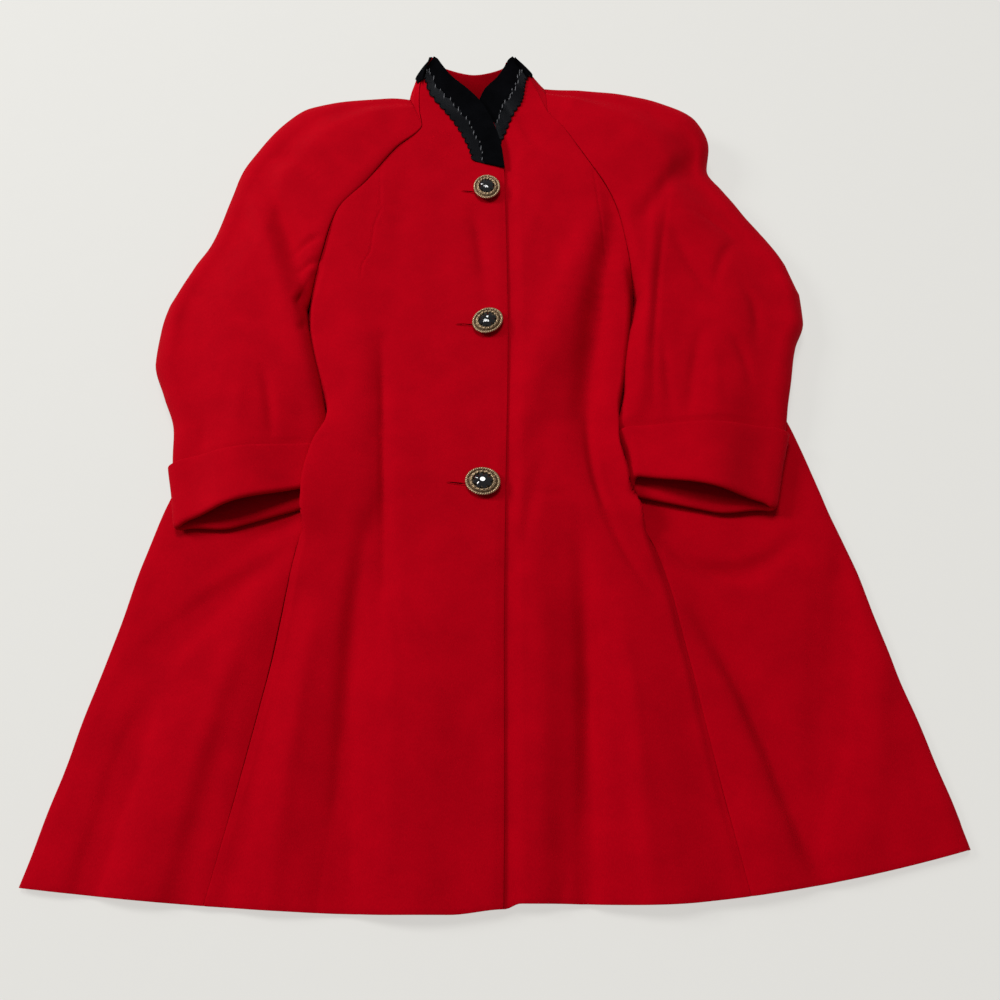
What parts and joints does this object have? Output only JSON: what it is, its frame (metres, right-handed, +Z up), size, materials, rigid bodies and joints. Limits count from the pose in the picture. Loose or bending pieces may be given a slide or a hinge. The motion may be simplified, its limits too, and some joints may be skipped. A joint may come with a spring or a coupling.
{
  "type": "swing coat",
  "caption": "Flared wool swing coat laid flat on its back, with raglan sleeves, turned-back cuffs, a velvet-banded stand collar and jewelled buttons.",
  "frame": {"origin": "middle of the laid-out coat's box, on the surface that it lies on", "axes": "+Y runs from the hem towards the neck, along the coat's length; +Z is up through the layers, out of the front; +X points to the wearer's left side"},
  "size_m": [0.8542, 1.0013, 0.0826],
  "materials": {
    "red_wool": "brushed wool",
    "black_velvet": "velvet pile",
    "black_braid": "satin braid",
    "antique_brass": "antique",
    "black_glass": "faceted"
  },
  "bodies": {
    "root": {"back": "red_wool", "front_right": "red_wool", "front_left": "red_wool", "sleeve_right": "red_wool", "sleeve_left": "red_wool", "cuff_right": "red_wool", "cuff_left": "red_wool", "collar_back": "red_wool", "velvet_back": "black_velvet", "velvet_right": "black_velvet", "velvet_left": "black_velvet", "braid_right": "black_braid", "braid_left": "black_braid", "button_1_rim": "antique_brass", "button_2_rim": "antique_brass", "button_3_rim": "antique_brass", "button_1_stone": "black_glass", "button_2_stone": "black_glass", "button_3_stone": "black_glass"}
  },
  "joints": []
}
